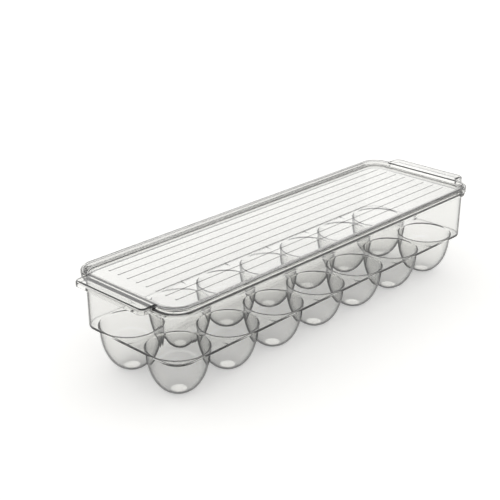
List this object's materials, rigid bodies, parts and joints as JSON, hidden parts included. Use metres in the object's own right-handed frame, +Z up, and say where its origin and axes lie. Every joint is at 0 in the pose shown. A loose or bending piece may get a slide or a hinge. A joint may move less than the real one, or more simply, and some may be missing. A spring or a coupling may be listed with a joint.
{
  "type": "egg holder",
  "caption": "Clear rigid plastic egg tray with two rows of round cups under a shallow wall, and a ribbed lift-off lid with a grip at each end.",
  "frame": {"origin": "on the plane that the cups stand on, under the middle of the tray", "axes": "+X along the two rows of cups, -Y towards the front long side, +Z up"},
  "size_m": [0.372, 0.108, 0.079],
  "materials": {
    "clear_tray": "clear colourless, high gloss, injection moulded",
    "clear_lid": "clear colourless, high gloss, injection moulded"
  },
  "bodies": {
    "tray": {"tray": "clear_tray"},
    "lid": {"lid": "clear_lid"}
  },
  "joints": [
    {"name": "lid_lift", "type": "slide", "parent": "tray", "child": "lid", "axis": [0, 0, 1], "range_m": [0, 0.1]}
  ]
}
